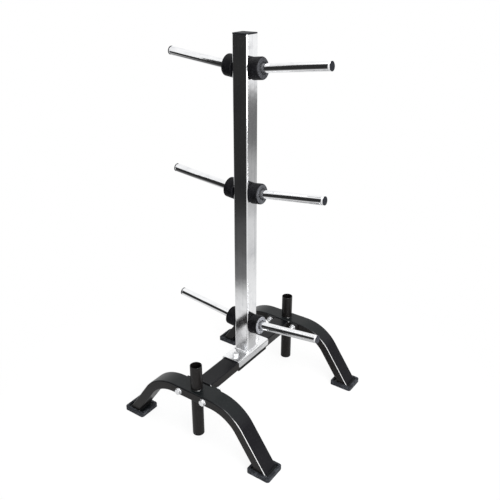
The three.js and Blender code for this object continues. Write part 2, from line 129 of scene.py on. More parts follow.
# Upright, cap and saddle
TUBE_WALL = 2 * MM
UPRIGHT_CORNER = 4 * MM
CAP_HEAD = 3 * MM
CAP_EDGE = 1.2 * MM
CAP_SKIRT_INSET = 3.3 * MM
CAP_DISH = 0.5 * MM
SADDLE_THICKNESS = 4 * MM
SADDLE_BEND = 6 * MM
SADDLE_CORNER = 7 * MM
SADDLE_BOLT_SPACING = 114 * MM
SADDLE_HOLE_TOP = 250 * MM  # over the saddle, under the lower pegs

# Pegs, bumpers and plugs
PEG_HEIGHTS = {"lower": 293 * MM, "middle": 731 * MM, "upper": 1080 * MM}
PEG_TILT = math.radians(6.4)
PEG_LENGTH = 236 * MM
PEG_RADIUS = 12.5 * MM
PEG_LEAD_LENGTH = 5 * MM
PEG_LEAD_DEPTH = 0.7 * MM
PEG_LEAD_ANGLE = 30
BUMPER_RADIUS = 30 * MM
BUMPER_LENGTH = 31 * MM
BUMPER_EDGE = 4.5 * MM
BUMPER_HEEL = 1.5 * MM
BUMPER_RECESS_RADIUS = 16.5 * MM
BUMPER_RECESS_DEPTH = 2.5 * MM
BUMPER_LIP = 0.8 * MM
BUMPER_MOUTH = 1.2 * MM
PLUG_HEAD = 2.5 * MM
PLUG_EDGE = 0.8 * MM
PLUG_EDGE_ANGLE = 80
PLUG_DEPTH = 14 * MM
PLUG_RIBS = 3
PLUG_RIB = (0.35, 0.6)  # a rib's crest and end, in pitches
PLUG_CROWN = 0.6 * MM
PLUG_GROOVE = (0.82, 0.78)  # the head's groove, in radii
PLUG_DOME = (0.7, 0.5, 0.25, 0)  # points of the head's dome, in radii
PLUG_DOME_DROP = 0.55  # from the head's full height to the dome's top, in crowns

# Legs, feet, beam and bar holders
LEG_WIDTH = 57 * MM
LEG_THICKNESS = 30 * MM
LEG_CORNER = 4 * MM
LEG_SLOPE = math.radians(55.5)
LEG_BEND_RADIUS = 126 * MM
LEG_KNEE = 135.6 * MM
FOOT_PLATE = Vector((60, 57, 4)) * MM
FOOT_PLATE_CORNER = 4 * MM
FOOT_INSET = 4.5 * MM
BOOT_RIM = 8 * MM
BOOT_CORNER = 8 * MM
BOOT_FLOOR = 5.7 * MM
BOOT_EDGE = 1.5 * MM
TREAD_PITCH = 12 * MM
TREAD_WIDTH = 4 * MM
TREAD_DEPTH = 1.5 * MM
TREADS = 4
FLANGE_CORNER = 6 * MM
BACKING_CORNER = 3 * MM
LEG_BOLT_SPACING = 92 * MM
HOLDER_RADIUS = 18 * MM
HOLDER_PLUG_HEAD = 3 * MM
HOLDER_PLUG_EDGE = 1 * MM
HOLDER_PLUG_DEPTH = 16 * MM

# Bolts, nuts and washers
BOLT_RADIUS = 5 * MM
BOLT_HEAD_ACROSS = 17 * MM
BOLT_HEAD_HEIGHT = 6.4 * MM
BOLT_POINT = 1.2 * MM
BOLT_HOLE_RADIUS = 5.6 * MM
THREAD_PITCH = 1.5 * MM
THREAD_DEPTH = 0.7 * MM
THREAD_SPACE = 0.05 * MM
THREAD_CREST = 0.2  # the crest's width, in widths of the ridge
THREAD_TURNS = 12
HEX_SIDES = 6
HEX_BEVEL = 1 * MM
NUT_HEIGHT = 8 * MM
WASHER_RADIUS = 10.5 * MM
WASHER_THICKNESS = 2 * MM
WASHER_EDGE = 0.35 * MM

# Gaps, edges and welds
GAP = 0.3 * MM  # between fitted pieces
OVERRUN = 5 * MM  # of a cutter past what it cuts
MERGE = 0.002 * MM  # points nearer than this are one
NEAR = 0.01 * MM
BURR = 0.4 * MM
BEAD = 2.6 * MM
FOOT_BEAD = 0.8 * BEAD
HOLDER_BEAD = 0.45 * BEAD
BEAD_STEP = 1.5 * MM
BEAD_RIPPLE = 0.32 * MM
RIPPLE_STEPS = 3
PARALLEL = 0.999  # cosine over which two directions count as one

# How finely curves are divided: steps in a full turn, in a corner and in a bend
ROUND = 64
BUMPER_ROUND = 96
HOLDER_ROUND = 80
HEX_ROUND = 72
SMALL_ROUND = 48
HOLE_ROUND = 32
THREAD_ROUND = 24
ARC = 6
BUMPER_ARC = 10
SMALL_ARC = 4
FINE_ARC = 3
BEAD_ARC = 3
SADDLE_STEPS = 8
LEG_STEPS = 28

# Degrees up to which faces are shaded as one curve, and over which an edge is rounded
SMOOTH = 32
LEG_SMOOTH = 40
BEAD_SMOOTH = 60
SHARP = 38


# Modelling with Blender's own tools

def select_only(piece):
    bpy.ops.object.select_all(action="DESELECT")
    piece.select_set(True)
    bpy.context.view_layer.objects.active = piece


def begin_edit(piece):
    select_only(piece)
    bpy.ops.object.mode_set(mode="EDIT")


def end_edit():
    bpy.ops.object.mode_set(mode="OBJECT")


def choose(piece, kind, wanted):
    """In edit mode, selects the vertices, edges or faces of a piece that pass a test."""
    bpy.ops.mesh.select_mode(type=kind)
    bpy.ops.mesh.select_all(action="DESELECT")
    form = bmesh.from_edit_mesh(piece.data)
    for part in {"VERT": form.verts, "EDGE": form.edges, "FACE": form.faces}[kind]:
        if wanted(part):
            part.select_set(True)
    form.select_flush_mode()
    bmesh.update_edit_mesh(piece.data)


def choose_all():
    bpy.ops.mesh.select_all(action="SELECT")


def middle(edge):
    return (edge.verts[0].co + edge.verts[1].co) / 2


def runs_along(edge, axis):
    return abs((edge.verts[1].co - edge.verts[0].co).normalized().dot(axis)) > PARALLEL


def lies_at(edge, axis, place):
    """Whether both ends of an edge are at a place along an axis."""
    return all(abs(vertex.co.dot(axis) - place) < MERGE for vertex in edge.verts)


def looks_along(face, direction):
    return face.normal.dot(direction) > PARALLEL


def extrude(step):
    """In edit mode, draws the selection out by a step."""
    bpy.ops.mesh.extrude_region_move(TRANSFORM_OT_translate={"value": step})


def bend(x, y, height, side, angle, steps):
    """In edit mode, draws the selection down round an axis along Y, on one side."""
    axis = (0, -side, 0)
    bpy.ops.mesh.spin(steps=steps, angle=angle, center=(x, y, height), axis=axis)


def round_edges(radius, steps=ARC):
    """In edit mode, rounds the selected edges."""
    bpy.ops.mesh.bevel(offset=radius, segments=steps, affect="EDGES")


def face_outwards():
    """In edit mode, merges doubles and turns the faces out."""
    choose_all()
    bpy.ops.mesh.remove_doubles(threshold=MERGE)
    bpy.ops.mesh.normals_make_consistent(inside=False)


def just_added(name, scale=(1, 1, 1)):
    """Names and scales the new object, and moves its place, turn and scale into its mesh."""
    piece = bpy.context.active_object
    piece.name = piece.data.name = name
    piece.scale = scale
    select_only(piece)
    bpy.ops.object.transform_apply(location=True, rotation=True, scale=True)
    return piece


def block(name, low, high):
    low, high = Vector(low), Vector(high)
    bpy.ops.mesh.primitive_cube_add(size=1, location=(low + high) / 2)
    return just_added(name, high - low)


def rounded_block(name, low, high, axis, radius):
    """A block whose four edges along one axis are rounded."""
    piece = block(name, low, high)
    begin_edit(piece)
    choose(piece, "EDGE", lambda edge: runs_along(edge, axis))
    round_edges(radius)
    end_edit()
    return piece


def rod(name, radius, start, end, steps=ROUND):
    """A round bar between two points."""
    start, end = Vector(start), Vector(end)
    bpy.ops.mesh.primitive_cylinder_add(
        vertices=steps,
        radius=radius,
        depth=(end - start).length,
        location=(start + end) / 2,
        rotation=(end - start).to_track_quat("Z", "Y").to_euler(),
    )
    return just_added(name)


def arc(centre, radius, start, end, steps=ARC):
    """Points of (radius, height) along a round corner, from one angle in degrees to another."""
    turns = [math.radians(start + (end - start) * i / steps) for i in range(steps + 1)]
    return [(centre[0] + radius * math.cos(t), centre[1] + radius * math.sin(t)) for t in turns]


def drawn_line(name, points):
    """A line through points, drawn by extruding one vertex. It is left in edit mode."""
    bpy.ops.mesh.primitive_plane_add(size=1, location=(0, 0, 0))
    piece = just_added(name)
    begin_edit(piece)
    bpy.ops.mesh.select_mode(type="VERT")
    choose_all()
    bpy.ops.mesh.merge(type="CENTER")
    choose_all()
    bpy.ops.transform.translate(value=points[0])
    for here, there in zip(points, points[1:]):
        extrude(Vector(there) - Vector(here))
    return piece


def turned(name, profile, steps=ROUND):
    """A profile of (radius, height) points spun round the Z axis."""
    piece = drawn_line(name, [(radius, 0, height) for radius, height in profile])
    choose_all()
    bpy.ops.mesh.spin(steps=steps, angle=2 * math.pi, center=(0, 0, 0), axis=(0, 0, 1))
    face_outwards()
    end_edit()
    return piece


def apply_modifier(piece, kind, **settings):
    modifier = piece.modifiers.new(kind.title(), kind)
    for name, value in settings.items():
        setattr(modifier, name, value)
    select_only(piece)
    bpy.ops.object.modifier_apply(modifier=modifier.name)
    return piece


def walled(piece):
    """Gives an open skin its wall, inwards."""
    return apply_modifier(piece, "SOLIDIFY", thickness=TUBE_WALL, offset=-1.0, use_even_offset=True)


def softened(piece, width=BURR):
    """Rounds the sharp edges a little."""
    return apply_modifier(
        piece,
        "BEVEL",
        width=width,
        segments=2,
        limit_method="ANGLE",
        angle_limit=math.radians(SHARP),
        use_clamp_overlap=True,
    )


def cut(piece, *cutters, operation="DIFFERENCE"):
    """Cuts a piece with closed shapes, which are used up."""
    for cutter in cutters:
        apply_modifier(piece, "BOOLEAN", object=cutter, operation=operation, solver="EXACT")
        bpy.data.objects.remove(cutter)
    return piece


def smooth(piece, angle=SMOOTH):
    """Shades the curves smooth and keeps the flats between them flat."""
    select_only(piece)
    bpy.ops.object.shade_smooth_by_angle(angle=math.radians(angle))
    return apply_modifier(piece, "WEIGHTED_NORMAL", weight=100, keep_sharp=True)


def is_end(piece, face, axis):
    """Whether a face is square to an axis, at one of a piece's ends."""
    reach = [Vector(corner).dot(axis) for corner in piece.bound_box]
    place = face.calc_center_median().dot(axis)
    at_end = min(place - min(reach), max(reach) - place) < MERGE
    return at_end and abs(face.normal.dot(axis)) > PARALLEL


def open_ends(piece, axis):
    """Takes away a block's or a rod's two end faces along an axis."""
    begin_edit(piece)
    choose(piece, "FACE", lambda face: is_end(piece, face, axis))
    bpy.ops.mesh.delete(type="FACE")
    end_edit()
    return piece


def linked(thing):
    """Puts an object in the scene."""
    bpy.context.scene.collection.objects.link(thing)
    return thing


def copied(piece, name, matrix):
    """A copy with a mesh of its own, moved as the matrix says."""
    twin = piece.copy()
    twin.data = piece.data.copy()
    twin.name = twin.data.name = name
    twin.data.transform(matrix)
    return linked(twin)


def finished(piece, finish, *nodes):
    """Gives a piece its finish and its body, and lets it stand for the nodes of the frame."""
    slot, material = finish
    piece.data.materials.clear()
    piece.data.materials.append(material)
    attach(piece, BODY)
    if nodes:
        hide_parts(*nodes)


# Welds

def ring_wire(name, centre, across, axis, radius):
    """A closed line round a rounded rectangle square to Y or Z, in short steps."""
    turn = (math.pi / 2, 0, 0) if axis == Y else (0, 0, 0)
    bpy.ops.mesh.primitive_plane_add(size=1, location=centre, rotation=turn)
    piece = just_added(name, (across[0], across[1], 1))
    begin_edit(piece)
    bpy.ops.mesh.select_mode(type="VERT")
    choose_all()
    bpy.ops.mesh.bevel(offset=radius, segments=ARC, affect="VERTICES")
    choose_all()
    bpy.ops.mesh.delete(type="ONLY_FACE")
    for length, direction in ((across[0], X), (across[1], Z if axis == Y else Y)):
        choose(piece, "EDGE", lambda edge: runs_along(edge, direction))
        bpy.ops.mesh.subdivide(number_cuts=int((length - 2 * radius) / BEAD_STEP))
    end_edit()
    return piece


def circle_wire(name, centre, radius):
    steps = 2 * round(math.pi * radius / BEAD_STEP)
    bpy.ops.mesh.primitive_circle_add(vertices=steps, radius=radius, location=centre)
    return just_added(name)


def bead(wire, thick=BEAD):
    """A rippled weld along a wire."""
    select_only(wire)
    bpy.ops.object.convert(target="CURVE")
    line = bpy.context.active_object
    line.data.bevel_depth = thick
    line.data.bevel_resolution = BEAD_ARC
    around = 4 + 2 * BEAD_ARC  # points in each ring of the round section
    bpy.ops.object.convert(target="MESH")
    piece = bpy.context.active_object
    piece.data.name = piece.name
    begin_edit(piece)
    choose(piece, "VERT", lambda vertex: (vertex.index // around) % RIPPLE_STEPS == 0)
    bpy.ops.transform.shrink_fatten(value=BEAD_RIPPLE)
    face_outwards()
    end_edit()
    return smooth(piece, BEAD_SMOOTH)


# Shader nodes

def maths(operation, turned_round=False):
    """A method that adds one Math node, with its values in order or turned round."""
    def method(signal, *others):
        values = (*others, signal) if turned_round else (signal, *others)
        inputs = dict(enumerate(values))
        return signal.graph.node("ShaderNodeMath", {"operation": operation}, inputs)
    return method


class Signal:
    """A shader socket that works in Python sums."""

    def __init__(self, graph, socket):
        self.graph = graph
        self.socket = socket

    __add__ = maths("ADD")
    __radd__ = maths("ADD", turned_round=True)
    __sub__ = maths("SUBTRACT")
    __rsub__ = maths("SUBTRACT", turned_round=True)
    __mul__ = maths("MULTIPLY")
    __rmul__ = maths("MULTIPLY", turned_round=True)
    __truediv__ = maths("DIVIDE")
    __pow__ = maths("POWER")
    __abs__ = maths("ABSOLUTE")
    sign = maths("SIGN")
    larger = maths("MAXIMUM")
    smaller = maths("MINIMUM")

    def __neg__(self):
        return 0.0 - self

    def between(self, low, high):
        """Rises smoothly from zero at one value to one at another."""
        settings = {"interpolation_type": "SMOOTHSTEP"}
        return self.graph.node(
            "ShaderNodeMapRange", settings, {"Value": self, "From Min": low, "From Max": high}
        )

    def stepped(self, start, steps):
        """Starts at a height, and changes smoothly by each step's height between its values."""
        return sum((height * self.between(low, high) for height, low, high in steps), start)


class Graph:
    """The nodes of one material or world."""

    def __init__(self, owner):
        owner.use_nodes = True
        self.owner = owner
        self.tree = owner.node_tree

    def node(self, kind, settings=None, inputs=None, output=0):
        """Adds a node: its settings first, then the values or links of its sockets."""
        made = self.tree.nodes.new(kind)
        for name, value in (settings or {}).items():
            setattr(made, name, value)
        for key, value in (inputs or {}).items():
            self.feed(self.socket(made.inputs, key), value)
        return Signal(self, self.socket(made.outputs, output))

    def socket(self, sockets, key):
        shown = [socket for socket in sockets if socket.enabled]
        return shown[key] if isinstance(key, int) else next(s for s in shown if s.name == key)

    def feed(self, socket, value):
        if isinstance(value, Signal):
            self.tree.links.new(value.socket, socket)
        else:
            socket.default_value = value

    def end(self, node, values):
        """Feeds sockets of a node that was there from the start."""
        for key, value in values.items():
            self.feed(self.tree.nodes[node].inputs[key], value)

    def place(self):
        return self.node("ShaderNodeTexCoord", output="Object")

    def facing(self):
        """The way a face looks: its east, north and up."""
        return self.axes(self.node("ShaderNodeNewGeometry", output="Normal"))

    def axes(self, vector):
        """The three numbers of a vector."""
        split = self.node("ShaderNodeSeparateXYZ", inputs={"Vector": vector})
        return [Signal(self, socket) for socket in split.socket.node.outputs]

    def stretched(self, vector, scale, turn):
        inputs = {"Vector": vector, "Scale": scale, "Rotation": turn}
        return self.node("ShaderNodeMapping", inputs=inputs)

    def noise(self, vector, scale, detail, distortion=0.0):
        inputs = {"Vector": vector, "Scale": scale, "Detail": detail, "Distortion": distortion}
        return self.node("ShaderNodeTexNoise", inputs=inputs)

    def cells(self, vector, scale):
        return self.node("ShaderNodeTexVoronoi", inputs={"Vector": vector, "Scale": scale})

    def blend(self, factor, first, second):
        """A colour between two others."""
        return self.node(
            "ShaderNodeMix", {"data_type": "RGBA"}, {"Factor": factor, "A": first, "B": second}
        )

    def bump(self, height, strength, distance):
        inputs = {"Height": height, "Strength": strength, "Distance": distance}
        return self.node("ShaderNodeBump", inputs=inputs)

    def rays(self):
        """Which rays come from the camera, from a gloss and from a clear surface."""
        rays = self.node("ShaderNodeLightPath").socket.node.outputs
        names = ("Is Camera Ray", "Is Glossy Ray", "Is Transmission Ray")
        return [Signal(self, rays[name]) for name in names]


def material_graph(name):
    return Graph(bpy.data.materials.new(name))


def surface(graph, slot, color, roughness, normal, metallic=0.0, constants=None):
    """Ends a finish's material, and gives it with the name of its slot."""
    fed = {"Base Color": color, "Roughness": roughness, "Normal": normal, "Metallic": metallic}
    graph.end("Principled BSDF", {**fed, **(constants or {})})
    return slot, graph.owner


def mixed_surface(graph, share, first, second):
    """Ends a material with a share of the second shader and the rest of the first."""
    mixed = graph.node("ShaderNodeMixShader", inputs={0: share, 1: first, 2: second})
    graph.end("Material Output", {"Surface": mixed})
    return graph.owner


# Finishes

def rgb(red, green, blue):
    return (red, green, blue, 1.0)


WHITE = rgb(1, 1, 1)
FLOOR_WHITE = rgb(0.86, 0.86, 0.86)
PLATED = rgb(0.94, 0.945, 0.955)
PLATED_WORN = rgb(0.52, 0.53, 0.56)
# Painted reflection of a bumper's face on the peg next to it
PLATED_PAINTED_REFLECTION = rgb(0.17, 0.175, 0.19)
# Painted light and shade of the black coat: the colour for level faces is lit, and the colours for
# slopes and sides are shaded
COAT_TOP_PAINTED_LIGHT = rgb(0.0040, 0.0058, 0.0064)
# Painted shade: the beam's level top is far darker than the legs' level faces
COAT_BEAM_TOP_PAINTED_SHADE = rgb(0.0004, 0.0005, 0.0014)
COAT_SLOPE_PAINTED_SHADE = rgb(0.0030, 0.0028, 0.0042)
COAT_SIDE_PAINTED_SHADE = rgb(0.0048, 0.0040, 0.0036)
COAT_CLOUD = rgb(0.006, 0.006, 0.0065)
COAT_DUST = rgb(0.022, 0.023, 0.024)
BUMPER_DEEP = rgb(0.0010, 0.0010, 0.0016)
BUMPER_LIGHT = rgb(0.0028, 0.0027, 0.0038)
# Lighter colour for the bumpers' end faces: scuffs and painted light
BUMPER_SCUFF_AND_LIGHT = rgb(0.37, 0.38, 0.41)
BOOT_DEEP = rgb(0.0068, 0.0074, 0.0096)
BOOT_LIGHT = rgb(0.020, 0.0218, 0.0262)
RUBBER_DUST = rgb(0.085, 0.09, 0.10)
PLASTIC_DEEP = rgb(0.004, 0.0045, 0.006)
PLASTIC_LIGHT = rgb(0.008, 0.009, 0.011)
# Lighter colour for the plugs' end faces: scuffs and painted light
PLASTIC_SCUFF_AND_LIGHT = rgb(0.058, 0.060, 0.070)
ZINC_BRIGHT = rgb(0.90, 0.91, 0.935)
ZINC_CLOUDY = rgb(0.72, 0.725, 0.72)

# Sockets that are the same all over
SATIN = {"Specular IOR Level": 0.2, "Coat Roughness": 0.10, "Coat IOR": 2.0}
DULL = {"Specular IOR Level": 0.09}
MATT = {"Specular IOR Level": 0.05}

# How smooth each plating is, and how its polishing grain is drawn out along an axis
UPRIGHT_SATIN = 0.08
SADDLE_SATIN = 0.17
PEG_SATIN = 0.06
GRAIN_ALONG_X = (0.02, 1, 1)
GRAIN_ALONG_Y = (1, 0.02, 1)
GRAIN_ALONG_Z = (1, 1, 0.02)

# Where finishes change, each between two values. Most are shares of a face's direction.
BURNT = (215 * MM, 290 * MM)  # heights, from dulled by the upright's weld to bright
# The pegs' painted reflection of their bumpers fades out between these distances
PAINTED_REFLECTION_REACH = (64.5 * MM, 66.5 * MM)  # distances from the upright's axis, from a dull peg to bright
LEVEL = (0.6, 0.95)
SLOPING = (0.1, 0.5)
RUN_EAST = (0.3, 0.45)
RUN_SOUTH = (0.1, 0.3)
RUN_UP = (0.2, 0.3)
END_FACE = (0.8, 0.97)
# How much the end faces are painted lighter, from the lowest pegs up: scuffs and painted light
SCUFF_AND_LIGHT_LOWEST = 0.52
SCUFF_AND_LIGHT_STEPS = ((-0.36, 0.4, 0.6), (-0.06, 0.8, 1.0))  # how much less, and between which heights


def chrome(name, satin, stretch, turn=(0, 0, 0), painted_reflection_reach=None, burnt=None):
    """Bright plating with a polishing grain and faint wear, rougher where it was burnt, and painted
    grey and rough next to the bumpers as a painted reflection of their faces.
    """
    graph = material_graph(name)
    place = graph.place()
    drawn_out = graph.stretched(place, stretch, turn)
    grain = graph.noise(drawn_out, scale=1400, detail=4)
    streaks = graph.noise(drawn_out, scale=210, detail=4)
    cloud = graph.noise(place, scale=16, detail=4)
    smudge = graph.noise(place, scale=42, detail=4).between(0.5, 0.8)
    specks = graph.noise(place, scale=900, detail=2).between(0.67, 0.8)
    worn = 0.3 * cloud.between(0.45, 0.75) + 0.3 * smudge + 0.3 * specks
    worn = worn + 0.5 * streaks.between(0.52, 0.8)
    color = graph.blend(worn, PLATED, PLATED_WORN)
    roughness = satin + 0.04 * grain + 0.08 * smudge * cloud + 0.06 * specks
    # Painted reflection of the bumper's face: the peg is painted grey and rough next to its bumper
    if painted_reflection_reach:
        painted_reflection = 1 - abs(graph.axes(place)[0]).between(*painted_reflection_reach)
        color = graph.blend(0.75 * painted_reflection, color, PLATED_PAINTED_REFLECTION)
        roughness = roughness + 0.4 * painted_reflection
    if burnt:
        roughness = roughness + 0.22 * (1 - graph.axes(place)[2].between(*burnt))
    waves = 3.0 * graph.noise(place, scale=13, detail=3) + 0.06 * streaks + 0.12 * grain
    normal = graph.bump(waves, strength=0.12, distance=1 * MM)
    return surface(graph, "chrome", color, roughness, normal, metallic=1.0)


def painted_light_by_facing(graph, top, slope, side):
    """Painted light and shade: one colour on level faces, one on sloping ones and one on the rest."""
    up = graph.facing()[2]
    return graph.blend(up.between(*LEVEL), graph.blend(up.between(*SLOPING), side, slope), top)


def glossy_edge(graph):
    """Where the coat has run together on the long front edges of the legs' right ends."""
    east, north, up = graph.facing()
    return east.between(*RUN_EAST) * (-north).between(*RUN_SOUTH) * up.between(*RUN_UP)


def powder_coat(name, top):
    """Satin black powder coat with a fine orange peel, a little dust and a run edge, painted lighter
    on level faces and darker on slopes and sides.
    """
    graph = material_graph(name)
    place = graph.place()
    broad = graph.noise(place, scale=9, detail=4)
    dust = graph.noise(place, scale=160, detail=4).between(0.55, 0.8)
    # painted light and shade, chosen by the way a face looks
    plain = painted_light_by_facing(graph, top, COAT_SLOPE_PAINTED_SHADE, COAT_SIDE_PAINTED_SHADE)
    color = graph.blend(0.5 * broad, plain, COAT_CLOUD)
    color = graph.blend(0.25 * dust, color, COAT_DUST)
    roughness = 0.24 + 0.12 * broad + 0.1 * dust
    peel = graph.cells(place, scale=620) + 0.6 * graph.noise(place, scale=900, detail=2)
    normal = graph.bump(peel, strength=0.07, distance=0.3 * MM)
    constants = {**SATIN, "Coat Weight": glossy_edge(graph)}
    return surface(graph, "black_powder_coat", color, roughness, normal, constants=constants)


def scuffed_and_painted_light(graph, place, color, scuff_and_light):
    """Faces that look along the pegs are painted lighter in patches, the more so the lower they are:
    scuffs together with painted light.
    """
    east, _, up = graph.axes(place)
    outward = graph.facing()[0] * east.sign()
    patchy = graph.noise(place, scale=300, detail=4).between(0.2, 0.6)
    amount = outward.between(*END_FACE) * patchy * up.stepped(SCUFF_AND_LIGHT_LOWEST, SCUFF_AND_LIGHT_STEPS)
    return graph.blend(amount, color, scuff_and_light)


def rubber(name, deep, light, dusty, scuff_and_light=None):
    """Matt black rubber with a moulded grain and a little dust."""
    graph = material_graph(name)
    place = graph.place()
    mottle = graph.noise(place, scale=55, detail=5, distortion=0.4).between(0.38, 0.72)
    fine = graph.noise(place, scale=420, detail=3).between(0.4, 0.75)
    color = graph.blend(mottle, deep, light)
    color = graph.blend(dusty * fine * (0.3 + 0.7 * mottle), color, RUBBER_DUST)
    # end faces painted lighter: scuffs and painted light
    if scuff_and_light:
        color = scuffed_and_painted_light(graph, place, color, scuff_and_light)
    roughness = 0.46 + 0.16 * mottle + 0.08 * fine
    grain = graph.noise(place, scale=1500, detail=2) + 0.5 * graph.cells(place, scale=700)
    normal = graph.bump(grain, strength=0.22, distance=0.3 * MM)
    return surface(graph, "rubber", color, roughness, normal, constants=DULL)


def plastic(name):
    """Moulded black plastic with a fine spark grain."""
    graph = material_graph(name)
    place = graph.place()
    broad = graph.noise(place, scale=70, detail=4)
    color = graph.blend(broad, PLASTIC_DEEP, PLASTIC_LIGHT)
    # end faces painted lighter: scuffs and painted light
    color = scuffed_and_painted_light(graph, place, color, PLASTIC_SCUFF_AND_LIGHT)
    roughness = 0.4 + 0.16 * broad
    grain = graph.noise(place, scale=1800, detail=3)
    normal = graph.bump(grain, strength=0.14, distance=0.2 * MM)
    return surface(graph, "black_plastic", color, roughness, normal, constants=MATT)


def zinc(name):
    """Bright zinc plating, slightly cloudy."""
    graph = material_graph(name)
    place = graph.place()
    cloud = graph.noise(place, scale=240, detail=4).between(0.35, 0.7)
    color = graph.blend(cloud, ZINC_BRIGHT, ZINC_CLOUDY)
    roughness = 0.34 + 0.16 * cloud
    grain = graph.noise(place, scale=1600, detail=3)
    normal = graph.bump(grain, strength=0.2, distance=0.2 * MM)
    return surface(graph, "zinc", color, roughness, normal, metallic=1.0)


plated_upright = chrome("upright_chrome", UPRIGHT_SATIN, GRAIN_ALONG_Z, burnt=BURNT)
plated_saddle = chrome("saddle_chrome", SADDLE_SATIN, GRAIN_ALONG_Y)
plated_peg = {
    side: chrome(f"{side}_peg_chrome", PEG_SATIN, GRAIN_ALONG_X, (0, way * PEG_TILT, 0), PAINTED_REFLECTION_REACH)
    for side, way in SIDES.items()
}
coat = powder_coat("black_powder_coat", COAT_TOP_PAINTED_LIGHT)
# the beam's copy of the coat, with painted shade on its top
beam_coat_painted_shade = powder_coat("beam_powder_coat_painted_shade", COAT_BEAM_TOP_PAINTED_SHADE)
bumper_rubber = rubber("bumper_rubber", BUMPER_DEEP, BUMPER_LIGHT, dusty=0.1, scuff_and_light=BUMPER_SCUFF_AND_LIGHT)
boot_rubber = rubber("boot_rubber", BOOT_DEEP, BOOT_LIGHT, dusty=0.9)
black_plastic = plastic("black_plastic")
bright_zinc = zinc("bright_zinc")


# Upright

def make_upright():
    low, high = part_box("upright_tube")
    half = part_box("upright_cap")[1].x  # the tube's own box is as wide as its weld
    tube = rounded_block(
        "upright", (-half, -half, low.z), (half, half, high.z), Z, UPRIGHT_CORNER
    )
    softened(walled(open_ends(tube, Z)), BURR / 2)
    finished(smooth(tube), plated_upright, "upright_tube")
    centre = (0, 0, low.z + BEAD / 3)
    across = (2 * half + BEAD, 2 * half + BEAD)
    seat = ring_wire("upright_foot_weld", centre, across, Z, UPRIGHT_CORNER)
    finished(bead(seat), plated_upright)


def on_rim(edge, high):
    """Whether an edge is on the outline of the cap's top, straight or at a rounded corner."""
    if not lies_at(edge, Z, high.z):
        return False
    centre = middle(edge)
    if max(abs(centre.x), abs(centre.y)) > high.x - UPRIGHT_CORNER / 3:
        return True
    inner = high.x - UPRIGHT_CORNER
    reach = [math.hypot(abs(v.co.x) - inner, abs(v.co.y) - inner) for v in edge.verts]
    return all(abs(radius - UPRIGHT_CORNER) < NEAR for radius in reach)


def make_cap():
    low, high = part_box("upright_cap")
    rim = high.z - CAP_HEAD
    cap = rounded_block("cap", (low.x, low.y, rim), high, Z, UPRIGHT_CORNER)
    begin_edit(cap)
    choose(cap, "FACE", lambda face: looks_along(face, Z))
    bpy.ops.mesh.inset(thickness=CAP_SKIRT_INSET, depth=0)
    bpy.ops.mesh.inset(thickness=CAP_DISH, depth=-CAP_DISH)
    choose(cap, "FACE", lambda face: looks_along(face, -Z))
    bpy.ops.mesh.inset(thickness=CAP_SKIRT_INSET, depth=0)
    extrude((0, 0, low.z - rim))
    bpy.ops.mesh.inset(thickness=TUBE_WALL, depth=0)
    extrude((0, 0, rim - low.z))
    choose(cap, "EDGE", lambda edge: on_rim(edge, high))
    round_edges(CAP_EDGE, SMALL_ARC)
    face_outwards()
    end_edit()
    finished(smooth(cap), black_plastic, "upright_cap")


def bolt_holes(name, axis, centre, away, low, high):
    """Cutters for two bolt holes along an axis, each some way from a centre."""
    return [
        rod(name, BOLT_HOLE_RADIUS, place + axis * low, place + axis * high, HOLE_ROUND)
        for place in (centre - away, centre + away)
    ]


def saddle_holes(name):
    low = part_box("backing_plate")[0].z - OVERRUN
    return bolt_holes(name, Z, Vector(), Y * SADDLE_BOLT_SPACING / 2, low, SADDLE_HOLE_TOP)


def is_lower_corner(edge, height, reach):
    """Whether an edge crosses a side of the saddle at one of its lower corners."""
    at_end = abs(abs(middle(edge).y) - reach) < MERGE
    return at_end and runs_along(edge, X) and lies_at(edge, Z, height)


def make_saddle():
    low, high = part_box("saddle_plate")
    flat = high.x - SADDLE_BEND
    bend_height = high.z - SADDLE_BEND
    saddle = block("saddle", (-flat, low.y, high.z - SADDLE_THICKNESS), (flat, high.y, high.z))
    open_ends(saddle, X)
    begin_edit(saddle)
    for side in SIDES.values():
        rim = flat * side
        choose(saddle, "EDGE", lambda edge: lies_at(edge, X, rim))
        bend(rim, 0, bend_height, side, math.pi / 2, SADDLE_STEPS)
        extrude((0, 0, low.z - bend_height))
        bpy.ops.mesh.edge_face_add()
    face_outwards()
    choose(saddle, "EDGE", lambda edge: is_lower_corner(edge, low.z, high.y))
    round_edges(SADDLE_CORNER)
    end_edit()
    cut(saddle, *saddle_holes("saddle_hole"))
    finished(smooth(softened(saddle)), plated_saddle, "saddle_plate")


# Pegs

def peg_matrix(tier, side):
    """From a peg's own frame, with Z along the peg, to its place on the upright."""
    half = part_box("upright_cap")[1].x
    lean = Matrix.Rotation(math.pi / 2 - PEG_TILT, 4, "Y")
    about = Matrix.Rotation(0 if side == "right" else math.pi, 4, "Z")
    place = Matrix.Translation((SIDES[side] * half, 0, PEG_HEIGHTS[tier]))
    return place @ about @ lean


